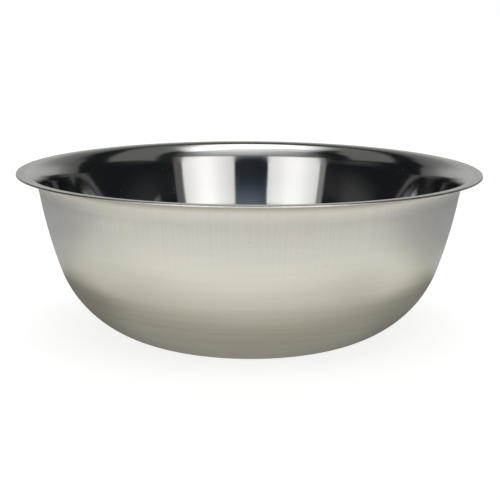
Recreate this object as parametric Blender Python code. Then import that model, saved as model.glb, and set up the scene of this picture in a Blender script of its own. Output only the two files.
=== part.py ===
"""Stainless steel mixing bowl, 13 quart: one sheet of steel, deep drawn into a shell with a flat flared rim.

Metres, +Z up. The origin is the middle of the flat base, on the surface that the bowl stands on.
The shell is a turned shape. Its section is the sheet's outer face, walked from the middle of the base
to the trimmed edge of the rim; the inner face is the same walk, one sheet thickness inwards.
"""

import math

import bmesh
import bpy

# Driving dimensions of the outer face.
RIM_DIAMETER = 0.4064  # 16 in over the trimmed edge
DEPTH = 0.1487  # base to the top of the rim
SHEET = 0.0008  # 22 gauge
BASE_FLAT_RADIUS = 0.0753
CORNER_RADIUS = 0.0974  # the round between the base and the wall
CORNER_END = math.radians(71.4)  # how steep the wall is where the round ends
WALL_RADIUS = 0.421  # the wall's own slight bow
RIM_EASE = ((0.060, math.radians(5)), (0.030, math.radians(8)))  # radius and turn, where the wall turns out
RIM_BEND_RADIUS = 0.0140  # under the rim, the rest of the way to level

# How finely the round stretches are divided.
TURN_STEPS = 96
CORNER_STEPS = 13
WALL_STEPS = 4
EASE_STEPS = 1
BEND_STEPS = 6
EDGE_STEPS = 4

STEEL_COLOUR = (0.62, 0.60, 0.56, 1.0)
STEEL_ROUGHNESS = 0.3
MERGE_DISTANCE = 1e-6
HALVINGS = 30  # of the range in which the wall's end is looked for


def clear_scene():
    for obj in list(bpy.data.objects):
        bpy.data.objects.remove(obj)


def walk_arc(path, radius, heading_end, steps):
    """Adds an arc to a path of (r, z, heading), turning left to a steeper heading or right to a flatter one."""
    r, z, heading = path[-1]
    turn = math.copysign(radius, heading_end - heading)
    for step in range(1, steps + 1):
        to = heading + (heading_end - heading) * step / steps
        path.append(
            (
                r + turn * (math.sin(to) - math.sin(heading)),
                z + turn * (math.cos(heading) - math.cos(to)),
                to,
            )
        )


def wall_and_bend(wall_end):
    """The outer face as (r, z, heading), from the middle of the base to the level rim, for a given wall end."""
    path = [(0.0, 0.0, 0.0), (BASE_FLAT_RADIUS, 0.0, 0.0)]
    walk_arc(path, CORNER_RADIUS, CORNER_END, CORNER_STEPS)
    walk_arc(path, WALL_RADIUS, wall_end, WALL_STEPS)
    for radius, turn in RIM_EASE:
        walk_arc(path, radius, path[-1][2] - turn, EASE_STEPS)
    walk_arc(path, RIM_BEND_RADIUS, 0.0, BEND_STEPS)
    return path


def outer_face():
    """The outer face up to the rim's rounded edge. The wall ends as steep as puts the rim's top at DEPTH."""
    low, high = CORNER_END, math.pi / 2
    for _ in range(HALVINGS):
        middle = (low + high) / 2
        if wall_and_bend(middle)[-1][1] > DEPTH - SHEET:
            high = middle
        else:
            low = middle
    path = wall_and_bend(low)
    path.append((RIM_DIAMETER / 2 - SHEET / 2, path[-1][1], 0.0))
    return path


def sheet_section():
    """The sheet's closed section as (r, z): the outer face, the rounded edge, the inner face to the axis."""
    outer = outer_face()
    inner = [
        (r - SHEET * math.sin(heading), z + SHEET * math.cos(heading))
        for r, z, heading in outer
    ]
    edge_r, edge_z, _ = outer[-1]
    edge = []
    for step in range(1, EDGE_STEPS):
        angle = math.pi * step / EDGE_STEPS
        edge.append(
            (
                edge_r + SHEET / 2 * math.sin(angle),
                edge_z + SHEET / 2 * (1 - math.cos(angle)),
            )
        )
    return [(r, z) for r, z, _ in outer] + edge + inner[::-1]


def turned_mesh(name, section):
    """A closed mesh of the section turned once about the Z axis. The section's two ends lie on the axis."""
    bm = bmesh.new()
    verts = [bm.verts.new((r, 0.0, z)) for r, z in section]
    edges = [bm.edges.new(pair) for pair in zip(verts, verts[1:])]
    bmesh.ops.spin(
        bm,
        geom=verts + edges,
        cent=(0.0, 0.0, 0.0),
        axis=(0.0, 0.0, 1.0),
        angle=math.tau,
        steps=TURN_STEPS,
        use_merge=True,
    )
    bmesh.ops.remove_doubles(bm, verts=bm.verts, dist=MERGE_DISTANCE)
    bmesh.ops.recalc_face_normals(bm, faces=bm.faces)
    mesh = bpy.data.meshes.new(name)
    bm.to_mesh(mesh)
    bm.free()
    return mesh


def steel():
    material = bpy.data.materials.new("stainless_steel")
    material.use_nodes = True
    shader = material.node_tree.nodes["Principled BSDF"]
    shader.inputs["Base Color"].default_value = STEEL_COLOUR
    shader.inputs["Metallic"].default_value = 1.0
    shader.inputs["Roughness"].default_value = STEEL_ROUGHNESS
    return material


def bowl_shell():
    mesh = turned_mesh("bowl_shell", sheet_section())
    mesh.materials.append(steel())
    mesh.shade_smooth()
    mesh.set_sharp_from_angle(angle=math.radians(50))
    obj = bpy.data.objects.new("bowl_shell", mesh)
    bpy.context.scene.collection.objects.link(obj)
    return obj


def main():
    clear_scene()
    bowl_shell()


if __name__ == "__main__":
    main()
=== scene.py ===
"""The looks of a stainless steel mixing bowl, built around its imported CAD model.

Metres, +Z up, in the CAD model's frame: the bowl stands on the origin and its axis is Z. The bowl is one
piece of sheet steel, so one fine mesh replaces the one CAD node. It is satin outside and on top of the rim,
and mirror polished inside.

The stage is a pale floor and backdrop that the camera sees, a lit table top that only the steel mirrors, and
a world that holds the studio's lights and walls.
"""

import math

import bpy
from mathutils import Matrix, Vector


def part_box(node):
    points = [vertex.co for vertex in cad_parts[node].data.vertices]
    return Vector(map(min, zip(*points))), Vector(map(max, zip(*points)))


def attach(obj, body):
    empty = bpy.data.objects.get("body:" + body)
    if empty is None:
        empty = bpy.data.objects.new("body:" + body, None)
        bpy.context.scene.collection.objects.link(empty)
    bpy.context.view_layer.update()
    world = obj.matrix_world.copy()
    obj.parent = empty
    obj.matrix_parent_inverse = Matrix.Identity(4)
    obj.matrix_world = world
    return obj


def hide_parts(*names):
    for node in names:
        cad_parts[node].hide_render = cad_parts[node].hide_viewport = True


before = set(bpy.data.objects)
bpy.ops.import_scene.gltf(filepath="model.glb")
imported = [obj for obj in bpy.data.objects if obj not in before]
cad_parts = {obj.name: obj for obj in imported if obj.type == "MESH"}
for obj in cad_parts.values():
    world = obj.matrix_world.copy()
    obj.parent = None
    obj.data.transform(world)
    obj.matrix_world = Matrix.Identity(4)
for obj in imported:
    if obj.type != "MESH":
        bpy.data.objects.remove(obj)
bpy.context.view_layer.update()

# ---- Shape ----

# The shell's outer face, as in the CAD model. Its size over all is read from the frame.
_, SHELL_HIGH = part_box("bowl_shell")
RIM_RADIUS = SHELL_HIGH.x
DEPTH = SHELL_HIGH.z
SHEET = 0.0008
BASE_FLAT_RADIUS = 0.0753
CORNER_RADIUS = 0.0974
CORNER_END = math.radians(71.4)
WALL_RADIUS = 0.421
# The wall eases into the rim's bend by these arcs, each a radius and a turn.
RIM_EASE = ((0.060, math.radians(5)), (0.030, math.radians(8)))
RIM_BEND_RADIUS = 0.0140

# The rim is a little out of true: it stands higher at the front and back than at the sides.
RIM_WARP = 0.0005
WARP_START = 0.09

# The rim's edge is upset into a small lip. Going round it from the underside: a foot that slopes down, a
# round lower corner, a bright band and a torn band that lean back, a small upper corner, and a top that
# droops.
# The bright band's near-white colour is painted highlight.
# The torn band's near-black colour is painted shade.
LIP_WIDTH = 0.0018
CREASE_RADIUS = 0.0001
FOOT_SLOPE = math.radians(60)
LOWER_CORNER = 0.00022
BRIGHT_BAND = 0.00080
TORN_BAND = 0.00040
BAND_LEAN = math.radians(12)
UPPER_CORNER = 0.00012
DROOP = math.radians(9)
DROOP_RADIUS = 0.0035

# How finely the mesh is divided.
TURN_STEPS = 360
BASE_STEPS = 12
CORNER_STEPS = 42
WALL_STEPS = 22
EASE_STEPS = 4
BEND_STEPS = 14
RIM_STEPS = 5
CREASE_STEPS = 2
LOWER_CORNER_STEPS = 6
UPPER_CORNER_STEPS = 3
DROOP_STEPS = 5
# How many rings of the inside bend have the rim's finish.
RIM_BEND_RINGS = 3
# How many times the search for the end of the wall halves its range.
HALVINGS = 40

# How many rings of the mesh the outer face takes, from the axis to the lip.
FACE_RINGS = BASE_STEPS + CORNER_STEPS + WALL_STEPS + len(RIM_EASE) * EASE_STEPS + BEND_STEPS + RIM_STEPS

# The mesh's rings from the axis under the base to the axis above it: each finish and how many rings have it.
FINISHES = (
    ("base", BASE_STEPS),
    ("outside", FACE_RINGS - BASE_STEPS + CREASE_STEPS + 2),
    ("bright band", LOWER_CORNER_STEPS + 1),
    ("torn band", 1),
    ("rim", UPPER_CORNER_STEPS + DROOP_STEPS + 1 + RIM_STEPS + RIM_BEND_RINGS),
    ("inside", FACE_RINGS - RIM_STEPS - RIM_BEND_RINGS),
)

# ---- Steel ----

# Colours of reflection.
STEEL = (0.615, 0.592, 0.545)
WARM_STEEL = (0.62, 0.578, 0.505)
GREY_STEEL = (0.52, 0.515, 0.50)
# Painted light: paler than steel, for the neck under the rim and the lower band's rub marks.
PAINTED_LIGHT_STEEL = (0.72, 0.70, 0.64)
RIM_STEEL = (0.58, 0.585, 0.575)
POLISHED_STEEL = (0.61, 0.61, 0.60)
DULL_POLISHED_STEEL = (0.57, 0.575, 0.57)
# Painted highlight: near white, brighter than steel reflects, for the lip's lower band.
BAND_PAINTED_HIGHLIGHT = (0.97, 0.96, 0.93)
# Painted shade: near black, darker than steel, for the dark line along the rim's edge.
TORN_PAINTED_SHADE_DARK = (0.09, 0.085, 0.072)
TORN_PAINTED_SHADE_PALE = (0.23, 0.22, 0.20)
DARK_SPOT = (0.25, 0.23, 0.20)

# Marks in the steel: how many per radian round the turn, how many per metre along the face, and how much
# fine detail they have.
FINE_MARKS = (420.0, 7.0, 1.5)
STREAKS = (140.0, 9.0, 2.0)
BROAD_STREAKS = (45.0, 9.0, 2.0)
CORNER_BANDS = (1.6, 330.0, 3.0)
OUTSIDE_CLOUD = (3.0, 22.0, 2.0)
BASE_CIRCLES = (2.0, 1500.0, 3.0)
RUB_MARKS = (60.0, 40.0, 2.0)
SHEAR_MARKS = (700.0, 300.0, 2.0)
TORN_PATCHES = (12.0, 10.0, 2.0)
RIM_CIRCLES = (3.0, 2200.0, 3.0)
RIM_CLOUD = (9.0, 5.0, 2.0)
POLISH_UPRIGHT = (260.0, 10.0, 3.0)
POLISH_LEVEL = (2.5, 600.0, 3.0)
POLISH_CLOUD = (4.0, 27.0, 2.0)
POLISH_WAVES = (7.0, 18.0, 1.0)

# Scuffs on the base: scale, detail and roughness of the noise.
SCUFFS = (90.0, 4.0, 0.65)
# Specks: how closely they are scattered, and their size against that.
OUTSIDE_SPECKS = (85.0, 0.05)
POLISH_SPECKS = (260.0, 0.11)
# How deep the relief of each finish is, in metres.
BASE_RELIEF = 0.000002
OUTSIDE_RELIEF = 0.0000005
TORN_RELIEF = 0.000004
RIM_RELIEF = 0.000001
POLISH_RELIEF = 0.00006
# How far highlights are drawn out around the axis.
OUTSIDE_GRAIN = 0.75
BRIGHT_GRAIN = 0.8
RIM_GRAIN = 0.3

# Where the finish changes with height: from, to, and the shares there.
MARKS_UNDER_RIM = (0.085, 0.132, 0.2, 1.0)
BANDS_ON_CORNER = (0.085, 0.035, 0.3, 1.0)
# The neck is painted paler: painted light for the brighter reflection under the rim.
PAINTED_LIGHT_NECK = (0.1405, 0.1455, 0.0, 1.0)
SOFT_NECK = (0.125, 0.143, 0.0, 1.0)
DULL_BEND = (0.126, 0.137, 0.0, 1.0)
OFF_BASE = (0.003, 0.030, 0.0, 1.0)
# Where the base is worn, by the distance from its centre.
WORN_EDGE = (0.055, 0.074, 0.2, 1.0)

# ---- The table ----

PLANE_SIZE = 60.0
FLOOR_COLOUR = (0.40, 0.40, 0.40)
FLOOR_GLOW = 0.83
BACKDROP_RADIUS = 25.0
BACKDROP_HEIGHT = 20.0
BACKDROP_STEPS = 96

# The pool of light on the table, by the distance from its centre.
POOL_CENTRE = (-0.02, -0.35)
POOL_REACH = 2.0
POOL = (
    (0.0, 1.0), (0.17, 0.98), (0.34, 0.89), (0.39, 0.85), (0.42, 0.80), (0.455, 0.71), (0.49, 0.63),
    (0.57, 0.55), (0.7, 0.47), (1.1, 0.41), (POOL_REACH, 0.36),
)
# The bowl's own shade, by the distance from its centre, which counts less sideways than forwards.
SHADE_CENTRE = (0.0, 0.05)
SHADE_ACROSS = 0.86
SHADE_REACH = 0.46
SHADE = (
    (0.0, 0.2), (0.14, 0.29), (0.17, 0.42), (0.20, 0.50), (0.24, 0.74), (0.28, 0.97), (0.32, 1.12),
    (0.36, 1.06), (0.40, 1.0), (SHADE_REACH, 0.90),
)
# The shade has a sharper edge at the bowl's sides: the light there is this many times as strong, by the same
# distance.
SIDE_SHADE = (
    (0.0, 0.85), (0.15, 0.80), (0.18, 0.67), (0.205, 0.82), (0.222, 1.05), (0.24, 1.23), (0.26, 1.15),
    (0.29, 1.0), (0.325, 0.89), (0.36, 0.94), (0.40, 1.05), (SHADE_REACH, 1.12),
)
# A brighter patch of the table on the right: from, to and softness, and how much brighter it is.
RIGHT_PATCH = (0.14, 0.29, 0.08)
RIGHT_PATCH_GAIN = 0.18
POOL_COLOUR = (1.0, 1.0, 0.97)
FAR_TABLE_COLOUR = (0.96, 0.99, 1.0)
SHADE_COLOUR = (1.0, 0.98, 0.87)

# ---- The room ----

DARK_ROOM = (0.012, 0.014, 0.016)

# The two upright softboxes. Angles are in degrees, azimuth from the camera's side towards +X.
BOX_TOP = (20.8, 22.8)
BOX_SOFTNESS = 1.5
RIGHT_BOX = {
    "colour": (1.0, 0.975, 0.945),
    "sides": (9.1, 41.7),
    "brightness": ((9.0, 0.95), (18.0, 1.3), (27.0, 1.6), (36.0, 1.35), (42.0, 1.15)),
    "strip_colour": (0.13, 0.125, 0.12),
    "strip_sides": (41.7, 47.0),
    "strip_softness": 1.5,
}
LEFT_BOX = {
    "colour": (1.0, 0.985, 0.96),
    "sides": (-43.5, -11.5),
    "brightness": ((-44.0, 1.0), (-37.0, 1.3), (-28.0, 1.55), (-18.0, 1.3), (-11.0, 1.1)),
    "strip_colour": (0.3, 0.3, 0.29),
    "strip_sides": (-47.3, -43.5),
    "strip_softness": 2.0,
}

# The scrim overhead: its brightness by elevation, and its colour low and high.
SCRIM_GLOW = (
    (10.0, 0.02), (14.0, 0.02), (16.5, 0.036), (18.5, 0.085), (21.5, 0.17), (25.0, 0.38), (28.0, 0.54),
    (36.0, 0.76), (50.0, 1.08), (60.0, 1.16), (70.0, 1.2), (90.0, 1.2),
)
LOW_SCRIM_COLOUR = (0.76, 1.0, 1.3)
SCRIM_COLOUR = (0.98, 1.0, 0.98)
LAMP_COLOUR = (0.8, 0.8, 0.78)
# Where the scrim ends behind the bowl, as the room's ahead.
SCRIM_BACK = (-0.53, -0.38)
# Its sides: how much narrower it is towards the back, and where its soft edge is.
SCRIM_RIGHT = (-0.52, 0.20, 0.44)
SCRIM_LEFT = (-0.42, 0.24, 0.50)
# Where its high part starts and its low part ends, by elevation, and the low part's sides, by azimuth.
HIGH_SCRIM = (38.0, 48.0)
LOW_SCRIM = (50.0, 62.0)
LOW_SCRIM_SIDES = (22.0, 52.0)
# Where it goes from its low colour to its high one, by elevation.
SCRIM_TINT = (17.0, 26.0)
# How much darker it is on the left: from, to, and the shares there.
SCRIM_LEFT_SHADE = (-0.5, 0.0, 0.76, 1.0)
# The lamp's slant, and where its edges are in front and low down.
LAMP_SLANT = -0.5
LAMP_EDGE = (0.34, 0.58)
LAMP_LOW_EDGE = (40.0, 50.0)

# The side walls: the angles where each starts, how wide it reaches, and where it ends at the back.
SIDE_WALL_COLOUR = (0.165, 0.165, 0.15)
RIGHT_WALL = {"starts": (57.0, 61.0), "reaches": (2.98, 3.12), "back_shift": 0.12, "back": (-0.22, -0.12)}
LEFT_WALL = {"starts": (62.5, 67.5), "reaches": (2.3, 2.8), "back_shift": 0.25, "back": (-0.21, -0.11)}
# The left wall starts further round higher up: from and to these elevations, by these angles.
LEFT_WALL_BULGE = (45.0, 66.0, 0.0, 25.0)
SIDE_WALL_FADE = (-0.8, -0.55)
# How much of the side walls the scrim hides.
SCRIM_HIDES = 0.9

# Dim shapes low in the dark room: where they are by elevation and by angle to the side.
DIM_COLOUR = (0.056, 0.054, 0.050)
DIM_BOTTOM = (8.5, 15.0)
DIM_TOP = (16.0, 18.5)
DIM_START = (47.0, 49.0)
DIM_END = (92.0, 94.0)
DIM_BY_SIDE = ((40.0, 0.5), (55.0, 0.4), (67.0, 1.0), (80.0, 0.7), (88.0, 0.1), (94.0, 0.0))
# Their strength on the right, and how much more it is on the left.
DIM_RIGHT = 0.4
DIM_MORE_ON_LEFT = 0.6

# The pale wall behind the bowl: its brightness by height and by the distance from its middle, both as shares
# of its distance from the bowl.
BACK_WALL_COLOUR = (1.0, 0.985, 0.93)
BACK_WALL_LEAST = 0.12
BACK_WALL_GAIN = 0.53
BACK_WALL_SIDES = (1.75, 2.0)
BACK_WALL_TOP = (0.95, 1.35)
# Its upper part is narrower on the left: from and to these heights, by this much.
BACK_WALL_LEFT_CUT = (0.45, 0.65, 0.0, 0.42)
BY_HEIGHT = ((0.0, 0.62), (0.1, 0.72), (0.22, 0.8), (0.38, 0.62), (0.58, 0.28), (0.9, 0.1), (1.1, 0.0))
BY_SIDE = ((0.0, 1.0), (0.42, 0.93), (0.78, 0.7), (0.93, 0.45), (1.28, 0.17), (1.66, 0.04), (2.0, 0.0))

# The smallest value that a direction's height or depth is divided by.
LEAST = 0.001

# ---- The camera, from the middle of the rim ----

CAMERA_DISTANCE = 5.18 * RIM_RADIUS
CAMERA_RISE = math.radians(7.82)
CAMERA_PITCH = math.radians(11.78)
CAMERA_YAW = math.radians(-0.048)
CAMERA_ROLL = math.radians(0.33)
CAMERA_LENS = 85.42
CAMERA_SENSOR = 36.0


def walk_arc(path, radius, heading_end, steps):
    """Adds an arc to a path of (r, z, heading), which turns either way to the heading given."""
    r, z, heading = path[-1]
    turn = math.copysign(radius, heading_end - heading)
    for step in range(1, steps + 1):
        to = heading + (heading_end - heading) * step / steps
        along = turn * (math.sin(to) - math.sin(heading))
        rise = turn * (math.cos(heading) - math.cos(to))
        path.append((r + along, z + rise, to))


def walk_flat(path, r_end, steps):
    """Adds a level straight stretch out to r_end."""
    r, z, heading = path[-1]
    for step in range(1, steps + 1):
        path.append((r + (r_end - r) * step / steps, z, heading))


def walk_straight(path, length):
    """Adds a straight stretch along the path's own heading."""
    r, z, heading = path[-1]
    path.append((r + length * math.cos(heading), z + length * math.sin(heading), heading))


def wall_and_bend(wall_end):
    """The outer face as (r, z, heading), from the axis to the level rim, for a given end of the wall."""
    path = [(0.0, 0.0, 0.0)]
    walk_flat(path, BASE_FLAT_RADIUS, BASE_STEPS)
    walk_arc(path, CORNER_RADIUS, CORNER_END, CORNER_STEPS)
    walk_arc(path, WALL_RADIUS, wall_end, WALL_STEPS)
    for radius, turn in RIM_EASE:
        walk_arc(path, radius, path[-1][2] - turn, EASE_STEPS)
    walk_arc(path, RIM_BEND_RADIUS, 0.0, BEND_STEPS)
    return path


def outer_face():
    """The outer face up to the lip. The wall ends as steep as puts the rim's top at DEPTH."""
    low, high = CORNER_END, math.pi / 2
    for _ in range(HALVINGS):
        middle = (low + high) / 2
        if wall_and_bend(middle)[-1][1] > DEPTH - SHEET:
            high = middle
        else:
            low = middle
    path = wall_and_bend(low)
    walk_flat(path, RIM_RADIUS - LIP_WIDTH, RIM_STEPS)
    return path


def walk_lip(foot):
    """The lip's outline from its own origin, for a given length of its foot."""
    path = [(0.0, 0.0, 0.0)]
    walk_arc(path, CREASE_RADIUS, -FOOT_SLOPE, CREASE_STEPS)
    walk_straight(path, foot)
    walk_arc(path, LOWER_CORNER, math.pi / 2 + BAND_LEAN, LOWER_CORNER_STEPS)
    walk_straight(path, BRIGHT_BAND)
    walk_straight(path, TORN_BAND)
    walk_arc(path, UPPER_CORNER, math.pi - DROOP, UPPER_CORNER_STEPS)
    walk_arc(path, DROOP_RADIUS, math.pi, DROOP_STEPS)
    return path


def lip():
    """The lip as (r, z, heading), from the rim's underside to its top. Its foot's length joins the two."""
    foot = (walk_lip(0.0)[-1][1] - SHEET) / math.sin(FOOT_SLOPE)
    path = walk_lip(foot)
    shift = RIM_RADIUS - max(r for r, _, _ in path)
    return [(r + shift, z + DEPTH - SHEET, heading) for r, z, heading in path]


def section():
    """The sheet's closed section from the axis under the base to the axis above it, as (r, z, nr, nz)."""
    path = outer_face()
    outer = [(r, z, math.sin(a), -math.cos(a)) for r, z, a in path + lip()]
    inner = [
        (r - SHEET * math.sin(a), z + SHEET * math.cos(a), -math.sin(a), math.cos(a))
        for r, z, a in path
    ]
    return outer + inner[::-1]


def lift(z, angle):
    """How far the rim's warp lifts a point at height z and at this turn from the front."""
    share = max(0.0, (z - WARP_START) / (DEPTH - WARP_START))
    return RIM_WARP * share * share * math.cos(2 * angle)


def turned_mesh(name):
    """The section turned around Z, with a vertex on the axis at either end and a finish for each ring."""
    points = section()
    turns = [math.tau * i / TURN_STEPS for i in range(TURN_STEPS)]
    verts, normals = [], []
    for r, z, nr, nz in points[1:-1]:
        for a in turns:
            verts.append((r * math.sin(a), -r * math.cos(a), z + lift(z, a)))
            normals.append((nr * math.sin(a), -nr * math.cos(a), nz))
    rings = len(points) - 2
    under, over = len(verts), len(verts) + 1
    verts += [(0.0, 0.0, points[0][1]), (0.0, 0.0, points[-1][1])]
    normals += [(0.0, 0.0, -1.0), (0.0, 0.0, 1.0)]
    faces = []
    for ring in range(-1, rings):
        low, high = ring * TURN_STEPS, (ring + 1) * TURN_STEPS
        for i in range(TURN_STEPS):
            j = (i + 1) % TURN_STEPS
            if ring < 0:
                faces.append((under, high + j, high + i))
            elif ring == rings - 1:
                faces.append((over, low + i, low + j))
            else:
                faces.append((low + i, low + j, high + j, high + i))
    mesh = bpy.data.meshes.new(name)
    mesh.from_pydata(verts, [], faces)
    finishes = [index for index, (_, count) in enumerate(FINISHES) for _ in range(count * TURN_STEPS)]
    mesh.polygons.foreach_set("material_index", finishes)
    mesh.shade_smooth()
    mesh.normals_split_custom_set_from_vertices(normals)
    mesh.validate()
    return mesh


def put(tree, socket, value):
    """Sets an input socket to a value, or links another node's output to it."""
    if isinstance(value, bpy.types.NodeSocket):
        tree.links.new(value, socket)
    else:
        socket.default_value = value


def calc(tree, operation, *values):
    """One step of arithmetic on numbers and sockets."""
    node = tree.nodes.new("ShaderNodeMath")
    node.operation = operation
    for socket, value in zip(node.inputs, values):
        put(tree, socket, value)
    return node.outputs[0]


def product(tree, first, *others):
    """The product of numbers and sockets."""
    total = first
    for other in others:
        total = calc(tree, "MULTIPLY", total, other)
    return total


def added(tree, *terms):
    """The sum of terms, each a number, a socket, or a (socket, factor) pair."""
    total = None
    for term in terms:
        value = calc(tree, "MULTIPLY", *term) if isinstance(term, tuple) else term
        total = value if total is None else calc(tree, "ADD", total, value)
    return total


def vector_calc(tree, operation, *values):
    """One step of arithmetic on vectors."""
    node = tree.nodes.new("ShaderNodeVectorMath")
    node.operation = operation
    for socket, value in zip(node.inputs, values):
        put(tree, socket, value)
    return node.outputs[0]


def scaled(tree, vector, factor):
    """A vector times a number."""
    node = tree.nodes.new("ShaderNodeVectorMath")
    node.operation = "SCALE"
    put(tree, node.inputs["Vector"], vector)
    put(tree, node.inputs["Scale"], factor)
    return node.outputs[0]


def length_of(tree, vector):
    """The length of a vector."""
    node = tree.nodes.new("ShaderNodeVectorMath")
    node.operation = "LENGTH"
    tree.links.new(vector, node.inputs[0])
    return node.outputs["Value"]


def split(tree, vector):
    """The x, y and z of a vector."""
    node = tree.nodes.new("ShaderNodeSeparateXYZ")
    tree.links.new(vector, node.inputs[0])
    return node.outputs


def joined(tree, x, y, z):
    """A vector from its x, y and z."""
    node = tree.nodes.new("ShaderNodeCombineXYZ")
    for socket, value in zip(node.inputs, (x, y, z)):
        put(tree, socket, value)
    return node.outputs[0]


def ramp(tree, value, start, end, low=0.0, high=1.0):
    """A smooth step from low to high while the value goes from start to end, upwards or downwards."""
    node = tree.nodes.new("ShaderNodeMapRange")
    node.interpolation_type = "SMOOTHSTEP"
    names = ("Value", "From Min", "From Max", "To Min", "To Max")
    for name, given in zip(names, (value, start, end, low, high)):
        put(tree, node.inputs[name], given)
    return node.outputs[0]


def falling(tree, value, start, end):
    """A smooth step from 1 to 0 while the value goes from start to end."""
    return ramp(tree, value, start, end, 1.0, 0.0)


def window(tree, value, start, end, soft):
    """1 while the value is between start and end, falling to 0 over a soft edge on either side."""
    rise = ramp(tree, value, start - soft / 2, start + soft / 2)
    fall = falling(tree, value, end - soft / 2, end + soft / 2)
    return product(tree, rise, fall)


def curve(tree, value, points):
    """A smooth curve through the points (value, result)."""
    node = tree.nodes.new("ShaderNodeFloatCurve")
    start, end = points[0][0], points[-1][0]
    top = max(result for _, result in points)
    line = node.mapping.curves[0]
    for _ in range(len(points) - 2):
        line.points.new(0.5, 0.5)
    for point, (at, result) in zip(line.points, points):
        point.location = ((at - start) / (end - start), result / top)
    node.mapping.update()
    share = calc(tree, "DIVIDE", calc(tree, "SUBTRACT", value, start), end - start)
    put(tree, node.inputs["Value"], share)
    return product(tree, node.outputs[0], top)


def noise(tree, vector, scale, detail, roughness=0.5):
    """Smooth noise from 0 to 1."""
    node = tree.nodes.new("ShaderNodeTexNoise")
    put(tree, node.inputs["Vector"], vector)
    node.inputs["Scale"].default_value = scale
    node.inputs["Detail"].default_value = detail
    node.inputs["Roughness"].default_value = roughness
    return node.outputs["Fac"]


def brushed(tree, out, along, marks):
    """Noise drawn out along the surface, from -0.5 to 0.5, in marks as (around, along, detail)."""
    around_scale, along_scale, detail = marks
    upwards = joined(tree, 0.0, 0.0, product(tree, along, along_scale))
    place = vector_calc(tree, "ADD", scaled(tree, out, around_scale), upwards)
    return calc(tree, "SUBTRACT", noise(tree, place, 1.0, detail), 0.5)


def blended(tree, share, colour, other):
    """A colour that goes from one to the other as the share goes from 0 to 1."""
    node = tree.nodes.new("ShaderNodeMix")
    node.data_type = "RGBA"
    put(tree, node.inputs["Factor"], share)
    for name, value in (("A", colour), ("B", other)):
        socket = next(s for s in node.inputs if s.name == name and s.type == "RGBA")
        put(tree, socket, value if isinstance(value, bpy.types.NodeSocket) else (*value, 1.0))
    return next(s for s in node.outputs if s.type == "RGBA")


def around_and_up(tree):
    """Coordinates that follow the turned shape: the direction out from the axis, the height and the place."""
    place = tree.nodes.new("ShaderNodeTexCoord").outputs["Object"]
    x, y, z = split(tree, place)
    out = vector_calc(tree, "NORMALIZE", joined(tree, x, y, 0.0))
    return out, z, place


def specks(tree, place, scale, size):
    """1 inside small round specks scattered over the surface, else 0."""
    cells = tree.nodes.new("ShaderNodeTexVoronoi")
    put(tree, cells.inputs["Vector"], place)
    cells.inputs["Scale"].default_value = scale
    near = ramp(tree, cells.outputs["Distance"], size, size / 2)
    tone = tree.nodes.new("ShaderNodeSeparateColor")
    tree.links.new(cells.outputs["Color"], tone.inputs[0])
    # About one cell in five has a speck.
    chosen = ramp(tree, tone.outputs[0], 0.80, 0.82)
    return product(tree, near, chosen)


def steel(name, colour, roughness):
    """A new metal material, its node tree and its shader, with its plain colour and roughness."""
    material = bpy.data.materials.new(name)
    material.use_nodes = True
    shader = material.node_tree.nodes["Principled BSDF"]
    shader.inputs["Base Color"].default_value = (*colour, 1.0)
    shader.inputs["Metallic"].default_value = 1.0
    shader.inputs["Roughness"].default_value = roughness
    return material, material.node_tree, shader


def finish(tree, shader, colour, roughness):
    """Gives the shader a colour and a roughness that change over the surface."""
    tree.links.new(colour, shader.inputs["Base Color"])
    tree.links.new(roughness, shader.inputs["Roughness"])


def raise_surface(tree, shader, height, distance):
    """Gives the shader a fine relief, distance metres deep."""
    bump = tree.nodes.new("ShaderNodeBump")
    bump.inputs["Distance"].default_value = distance
    tree.links.new(height, bump.inputs["Height"])
    tree.links.new(bump.outputs[0], shader.inputs["Normal"])


def turn_grain(tree, shader, strength):
    """Draws highlights out around the axis."""
    tangent = tree.nodes.new("ShaderNodeTangent")
    tangent.direction_type = "RADIAL"
    tangent.axis = "Z"
    tree.links.new(tangent.outputs[0], shader.inputs["Tangent"])
    shader.inputs["Anisotropic"].default_value = strength


def satin_base():
    """The flat base: satin, brushed in circles, and a little scuffed where it rests."""
    material, tree, shader = steel("satin_steel_base", (0.58, 0.57, 0.53), 0.35)
    out, _, place = around_and_up(tree)
    radius = length_of(tree, place)
    circles = brushed(tree, out, radius, BASE_CIRCLES)
    scuffs = ramp(tree, noise(tree, place, *SCUFFS), 0.5, 0.62)
    worn = product(tree, scuffs, ramp(tree, radius, *WORN_EDGE))
    colour = blended(tree, added(tree, 0.4, (circles, 1.0), (worn, 0.4)), STEEL, GREY_STEEL)
    finish(tree, shader, colour, added(tree, 0.32, (circles, 0.15), (worn, 0.12)))
    raise_surface(tree, shader, added(tree, circles, worn), BASE_RELIEF)
    return material


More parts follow.
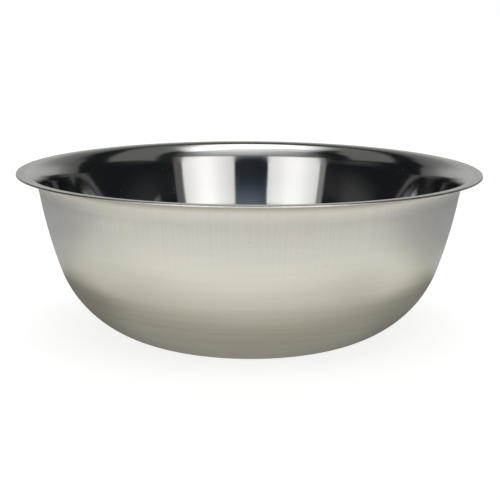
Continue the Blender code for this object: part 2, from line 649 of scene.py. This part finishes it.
def satin_outside():
    """Satin steel: fine upright marks, most of them under the rim, and faint bands around the corner."""
    material, tree, shader = steel("satin_steel_outside", (0.60, 0.59, 0.55), 0.27)
    out, height, place = around_and_up(tree)
    fine = brushed(tree, out, height, FINE_MARKS)
    streaks = brushed(tree, out, height, STREAKS)
    broad = brushed(tree, out, height, BROAD_STREAKS)
    bands = brushed(tree, out, height, CORNER_BANDS)
    cloud = brushed(tree, out, height, OUTSIDE_CLOUD)
    spots = specks(tree, place, *OUTSIDE_SPECKS)
    all_marks = added(tree, (fine, 1.2), (streaks, 0.8), (broad, 0.35))
    marks = product(tree, all_marks, ramp(tree, height, *MARKS_UNDER_RIM))
    rings = product(tree, bands, ramp(tree, height, *BANDS_ON_CORNER))
    soft = ramp(tree, height, *SOFT_NECK)
    warm = blended(tree, added(tree, 0.45, (marks, 1.3), (cloud, 0.8)), STEEL, WARM_STEEL)
    tinted = blended(tree, added(tree, 0.22, (rings, 1.5), (marks, 0.8)), warm, GREY_STEEL)
    # Painted light: the neck under the rim is paler, for the brighter reflection there.
    neck_painted_light = blended(tree, ramp(tree, height, *PAINTED_LIGHT_NECK), tinted, PAINTED_LIGHT_STEEL)
    colour = blended(tree, product(tree, spots, 0.6), neck_painted_light, DARK_SPOT)
    roughness = added(
        tree, 0.20, (marks, 0.06), (rings, 0.10), (cloud, 0.05), (spots, 0.2), (soft, 0.18)
    )
    finish(tree, shader, colour, roughness)
    raise_surface(tree, shader, added(tree, fine, (bands, 0.5), (spots, -2.0)), OUTSIDE_RELIEF)
    turn_grain(tree, shader, OUTSIDE_GRAIN)
    return material


def bright_band():
    """The edge's lower band, with short rub marks, coloured near white as a painted highlight."""
    material, tree, shader = steel("steel_band_painted_highlight", (0.93, 0.92, 0.89), 0.32)
    out, height, _ = around_and_up(tree)
    rub = brushed(tree, out, height, RUB_MARKS)
    colour = blended(tree, added(tree, 0.2, rub), BAND_PAINTED_HIGHLIGHT, PAINTED_LIGHT_STEEL)
    finish(tree, shader, colour, added(tree, 0.32, (rub, 0.12)))
    turn_grain(tree, shader, BRIGHT_GRAIN)
    return material


def torn_band_painted_shade():
    """The edge's torn upper band, with short upright marks, coloured near black as painted shade."""
    material, tree, shader = steel("torn_steel_band_painted_shade", (0.13, 0.125, 0.115), 0.4)
    out, height, _ = around_and_up(tree)
    shear = brushed(tree, out, height, SHEAR_MARKS)
    patches = brushed(tree, out, height, TORN_PATCHES)
    colour = blended(tree, added(tree, 0.5, shear, patches), TORN_PAINTED_SHADE_DARK, TORN_PAINTED_SHADE_PALE)
    finish(tree, shader, colour, added(tree, 0.40, (shear, 0.2), (patches, 0.1)))
    raise_surface(tree, shader, shear, TORN_RELIEF)
    return material


def satin_rim():
    """The flat top of the rim: satin, brushed in circles."""
    material, tree, shader = steel("satin_steel_rim", (0.57, 0.57, 0.56), 0.18)
    out, height, place = around_and_up(tree)
    circles = brushed(tree, out, length_of(tree, place), RIM_CIRCLES)
    cloud = brushed(tree, out, height, RIM_CLOUD)
    colour = blended(tree, added(tree, 0.4, (circles, 0.8), (cloud, 0.8)), RIM_STEEL, GREY_STEEL)
    finish(tree, shader, colour, added(tree, 0.18, (circles, 0.10), (cloud, 0.06)))
    raise_surface(tree, shader, circles, RIM_RELIEF)
    turn_grain(tree, shader, RIM_GRAIN)
    return material


def mirror_inside():
    """Mirror polish, with fine polishing marks, specks and a duller bend. The base has level marks only."""
    material, tree, shader = steel("mirror_steel_inside", (0.60, 0.60, 0.59), 0.05)
    out, height, place = around_and_up(tree)
    along = added(tree, height, length_of(tree, place))
    off_base = ramp(tree, height, *OFF_BASE)
    upright = product(tree, brushed(tree, out, height, POLISH_UPRIGHT), off_base)
    level = brushed(tree, out, along, POLISH_LEVEL)
    cloud = brushed(tree, out, along, POLISH_CLOUD)
    waves = product(tree, brushed(tree, out, height, POLISH_WAVES), off_base)
    spots = specks(tree, place, *POLISH_SPECKS)
    bend = ramp(tree, height, *DULL_BEND)
    dullness = added(tree, 0.4, (cloud, 0.8), (upright, 0.5))
    colour = blended(tree, dullness, POLISHED_STEEL, DULL_POLISHED_STEEL)
    roughness = added(
        tree, 0.050, (upright, 0.07), (level, 0.05), (cloud, 0.03), (spots, 0.35), (bend, 0.075)
    )
    finish(tree, shader, colour, roughness)
    raise_surface(tree, shader, added(tree, (upright, 0.02), (level, 0.01), waves), POLISH_RELIEF)
    return material


def bowl():
    """The bowl, with a material for each of FINISHES in turn."""
    mesh = turned_mesh("mixing_bowl")
    for make in (satin_base, satin_outside, bright_band, torn_band_painted_shade, satin_rim, mirror_inside):
        mesh.materials.append(make())
    obj = bpy.data.objects.new("mixing_bowl", mesh)
    bpy.context.scene.collection.objects.link(obj)
    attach(obj, "root")
    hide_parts("bowl_shell")


def level_square(name, level):
    """A large level square around the origin."""
    half = PLANE_SIZE / 2
    corners = [(-half, -half, level), (half, -half, level), (half, half, level), (-half, half, level)]
    mesh = bpy.data.meshes.new(name)
    mesh.from_pydata(corners, [], [(0, 1, 2, 3)])
    return mesh


def glowing(name, colour, strength):
    """A new dull material that glows, its node tree and its shader."""
    material = bpy.data.materials.new(name)
    material.use_nodes = True
    shader = material.node_tree.nodes["Principled BSDF"]
    shader.inputs["Base Color"].default_value = (*colour, 1.0)
    shader.inputs["Specular IOR Level"].default_value = 0.0
    shader.inputs["Emission Color"].default_value = (1.0, 1.0, 1.0, 1.0)
    shader.inputs["Emission Strength"].default_value = strength
    return material, material.node_tree, shader


def set_stage(mesh, material, hidden_from):
    """Puts a stage object in the scene, hidden from some kinds of ray."""
    mesh.materials.append(material)
    obj = bpy.data.objects.new(mesh.name, mesh)
    obj.visible_camera = "camera" not in hidden_from
    obj.visible_diffuse = "diffuse" not in hidden_from
    obj.visible_glossy = "glossy" not in hidden_from
    obj.visible_shadow = "shadow" not in hidden_from
    bpy.context.scene.collection.objects.link(obj)


def floor():
    """The pale floor that the camera sees."""
    material, _, shader = glowing("pale_floor", FLOOR_COLOUR, FLOOR_GLOW)
    shader.inputs["Roughness"].default_value = 0.9
    shader.inputs["Specular IOR Level"].default_value = 0.1
    set_stage(level_square("floor", 0.0), material, ("glossy",))


def distance_from(tree, place, centre, level, across=1.0):
    """How far a place on the table is from a centre, with its sideways share weighed by across."""
    offset = vector_calc(tree, "SUBTRACT", place, (*centre, level))
    return length_of(tree, vector_calc(tree, "MULTIPLY", offset, (across, 1.0, 1.0)))


def table_light():
    """The lit table top that the steel mirrors: a pool of light in front of the bowl, fading away from it,
    and the bowl's own soft shade around its base."""
    level = -SHEET / 2
    material, tree, shader = glowing("table_light", (0.0, 0.0, 0.0), 1.0)
    place = tree.nodes.new("ShaderNodeTexCoord").outputs["Object"]
    x, _, _ = split(tree, place)
    away = distance_from(tree, place, POOL_CENTRE, level)
    near = calc(
        tree, "MINIMUM", distance_from(tree, place, SHADE_CENTRE, level, SHADE_ACROSS), SHADE_REACH
    )
    pool = curve(tree, calc(tree, "MINIMUM", away, POOL_REACH), POOL)
    shade = curve(tree, near, SHADE)
    # The sharper edge of the shade at the bowl's sides.
    sideways = calc(tree, "DIVIDE", calc(tree, "ABSOLUTE", x), calc(tree, "MAXIMUM", near, 0.01))
    at_sides = ramp(tree, sideways, 0.60, 1.0)
    right_patch = window(tree, x, *RIGHT_PATCH)
    change = added(tree, curve(tree, near, SIDE_SHADE), -1.0, (right_patch, RIGHT_PATCH_GAIN))
    sharper = added(tree, 1.0, product(tree, at_sides, change))
    # The table is a little brighter on the left.
    tilt = ramp(tree, x, -0.5, 0.5, 1.03, 0.97)
    open_table = blended(tree, ramp(tree, away, 0.2, 0.6), POOL_COLOUR, FAR_TABLE_COLOUR)
    colour = blended(tree, ramp(tree, near, 0.16, 0.36), SHADE_COLOUR, open_table)
    strength = product(tree, pool, shade, sharper, tilt)
    tree.links.new(scaled(tree, colour, strength), shader.inputs["Emission Color"])
    set_stage(level_square("table_light", level), material, ("camera", "diffuse", "shadow"))


def backdrop():
    """A plain round wall far behind everything. It is there for the camera only and casts no light."""
    turns = [math.tau * i / BACKDROP_STEPS for i in range(BACKDROP_STEPS)]
    ring = [(BACKDROP_RADIUS * math.cos(a), BACKDROP_RADIUS * math.sin(a)) for a in turns]
    verts = [(x, y, z) for z in (0.0, BACKDROP_HEIGHT) for x, y in ring]
    faces = []
    for i in range(BACKDROP_STEPS):
        j = (i + 1) % BACKDROP_STEPS
        faces.append((i, j, BACKDROP_STEPS + j, BACKDROP_STEPS + i))
    mesh = bpy.data.meshes.new("backdrop")
    mesh.from_pydata(verts, [], faces)
    material, _, _ = glowing("pale_backdrop", (0.0, 0.0, 0.0), 1.0)
    set_stage(mesh, material, ("diffuse", "glossy", "shadow"))


class Room:
    """The room as light from each direction. Angles are in degrees, azimuth from the camera's side towards
    +X, elevation from the floor. Across and ahead are where a direction meets a ceiling of height 1."""

    def __init__(self, tree):
        direction = tree.nodes.new("ShaderNodeTexCoord").outputs["Generated"]
        x, y, z = split(tree, direction)
        forward = product(tree, y, -1.0)
        height = calc(tree, "MAXIMUM", z, LEAST)
        depth = calc(tree, "MAXIMUM", y, LEAST)
        self.tree = tree
        self.azimuth = calc(tree, "DEGREES", calc(tree, "ARCTAN2", x, forward))
        self.side = calc(tree, "ABSOLUTE", self.azimuth)
        self.elevation = calc(tree, "DEGREES", calc(tree, "ARCSINE", z))
        self.across = calc(tree, "DIVIDE", x, height)
        self.wide = calc(tree, "ABSOLUTE", self.across)
        self.ahead = calc(tree, "DIVIDE", forward, height)
        self.on_right = calc(tree, "GREATER_THAN", x, 0.0)
        self.on_left = calc(tree, "SUBTRACT", 1.0, self.on_right)
        # Where a direction meets a wall at distance 1 behind the bowl.
        self.behind = ramp(tree, y, 0.0, 0.03)
        self.sideways = calc(tree, "DIVIDE", calc(tree, "ABSOLUTE", x), depth)
        self.upwards = calc(tree, "DIVIDE", z, depth)
        self.light = None

    def shine(self, colour, *masks):
        """Adds light of a colour where all the masks are."""
        layer = scaled(self.tree, colour, product(self.tree, *masks))
        self.light = layer if self.light is None else vector_calc(self.tree, "ADD", self.light, layer)

    def by_side(self, right, left):
        """One value on the right and another on the left."""
        return added(self.tree, (self.on_right, right), (self.on_left, left))


def softbox(room, box):
    """One upright softbox, brightest along its middle, with a dimmer strip along its outer side."""
    tree = room.tree
    below_top = falling(tree, room.elevation, *BOX_TOP)
    face = window(tree, room.azimuth, *box["sides"], BOX_SOFTNESS)
    strip = window(tree, room.azimuth, *box["strip_sides"], box["strip_softness"])
    room.shine(box["colour"], face, below_top, curve(tree, room.azimuth, box["brightness"]))
    room.shine(box["strip_colour"], strip, below_top)


def scrim_side(room, narrowing, start, end):
    """The scrim as far as its soft edge on one side, for how much narrower it is towards the back."""
    return falling(room.tree, added(room.tree, room.wide, (room.ahead, narrowing)), start, end)


def scrim(room):
    """The bright scrim overhead, a little askew, which comes down behind the camera, and a lamp behind it.
    Gives back the scrim's outline."""
    tree = room.tree
    sides = room.by_side(scrim_side(room, *SCRIM_RIGHT), scrim_side(room, *SCRIM_LEFT))
    high = product(tree, sides, ramp(tree, room.elevation, *HIGH_SCRIM))
    low = product(tree, falling(tree, room.side, *LOW_SCRIM_SIDES), falling(tree, room.elevation, *LOW_SCRIM))
    outline = calc(tree, "MAXIMUM", high, low)
    up_to_back = ramp(tree, room.ahead, *SCRIM_BACK)
    glow = curve(tree, room.elevation, SCRIM_GLOW)
    tint = blended(tree, ramp(tree, room.elevation, *SCRIM_TINT), LOW_SCRIM_COLOUR, SCRIM_COLOUR)
    room.shine(tint, outline, glow, up_to_back, ramp(tree, room.across, *SCRIM_LEFT_SHADE))
    slant = added(tree, room.ahead, (room.across, LAMP_SLANT))
    lamp = falling(tree, slant, *LAMP_EDGE)
    room.shine(LAMP_COLOUR, outline, lamp, up_to_back, ramp(tree, room.elevation, *LAMP_LOW_EDGE))
    return outline


def side_wall(room, angle, wall):
    """One side wall, which starts where the angle does."""
    tree = room.tree
    back = product(tree, added(tree, room.ahead, wall["back_shift"]), room.wide)
    return product(
        tree,
        ramp(tree, angle, *wall["starts"]),
        falling(tree, room.wide, *wall["reaches"]),
        ramp(tree, back, *wall["back"]),
    )


def side_walls(room, scrim_outline):
    """The grey ceiling and side walls around the scrim."""
    tree = room.tree
    left_angle = calc(tree, "SUBTRACT", room.side, ramp(tree, room.elevation, *LEFT_WALL_BULGE))
    walls = room.by_side(side_wall(room, room.azimuth, RIGHT_WALL), side_wall(room, left_angle, LEFT_WALL))
    not_far_back = ramp(tree, room.ahead, *SIDE_WALL_FADE)
    beside_scrim = added(tree, 1.0, (scrim_outline, -SCRIM_HIDES))
    room.shine(SIDE_WALL_COLOUR, walls, not_far_back, beside_scrim)


def dim_shapes(room):
    """Dim shapes low in the dark room, brighter on the left."""
    tree = room.tree
    low_band = product(tree, ramp(tree, room.elevation, *DIM_BOTTOM), falling(tree, room.elevation, *DIM_TOP))
    beside = product(tree, ramp(tree, room.side, *DIM_START), falling(tree, room.side, *DIM_END))
    strength = added(tree, DIM_RIGHT, (room.on_left, DIM_MORE_ON_LEFT))
    room.shine(DIM_COLOUR, curve(tree, room.side, DIM_BY_SIDE), low_band, strength, beside)


def back_wall(room):
    """The pale wall behind the bowl, brightest low in the middle."""
    tree = room.tree
    brightness = product(tree, curve(tree, room.upwards, BY_HEIGHT), curve(tree, room.sideways, BY_SIDE))
    pale = added(tree, BACK_WALL_LEAST, (brightness, BACK_WALL_GAIN))
    cut_off = product(tree, room.on_left, ramp(tree, room.upwards, *BACK_WALL_LEFT_CUT))
    wall = product(
        tree,
        falling(tree, added(tree, room.sideways, cut_off), *BACK_WALL_SIDES),
        falling(tree, room.upwards, *BACK_WALL_TOP),
    )
    room.shine(BACK_WALL_COLOUR, wall, room.behind, pale)


def studio():
    """The light: a dark room with two softboxes, one on each side of the camera, a long scrim overhead, pale
    side walls, and a pale wall behind the bowl."""
    world = bpy.data.worlds.new("studio")
    bpy.context.scene.world = world
    world.use_nodes = True
    tree = world.node_tree
    tree.nodes.clear()
    room = Room(tree)
    room.shine(DARK_ROOM, ramp(tree, room.elevation, -5.0, 0.0))
    softbox(room, RIGHT_BOX)
    softbox(room, LEFT_BOX)
    scrim_outline = scrim(room)
    side_walls(room, scrim_outline)
    dim_shapes(room)
    back_wall(room)
    background = tree.nodes.new("ShaderNodeBackground")
    tree.links.new(room.light, background.inputs["Color"])
    output = tree.nodes.new("ShaderNodeOutputWorld")
    tree.links.new(background.outputs[0], output.inputs[0])


def camera():
    """The camera in front of the bowl, looking a little down on it."""
    data = bpy.data.cameras.new("camera")
    data.lens = CAMERA_LENS
    data.sensor_width = CAMERA_SENSOR
    obj = bpy.data.objects.new("camera", data)
    bpy.context.scene.collection.objects.link(obj)
    obj.location = (
        0.0,
        -CAMERA_DISTANCE * math.cos(CAMERA_RISE),
        DEPTH + CAMERA_DISTANCE * math.sin(CAMERA_RISE),
    )
    obj.rotation_euler = (
        Matrix.Rotation(CAMERA_YAW, 3, "Z")
        @ Matrix.Rotation(math.pi / 2 - CAMERA_PITCH, 3, "X")
        @ Matrix.Rotation(CAMERA_ROLL, 3, "Z")
    ).to_euler()
    bpy.context.scene.camera = obj


bowl()
floor()
table_light()
backdrop()
studio()
camera()
bpy.context.scene.view_settings.view_transform = "Standard"
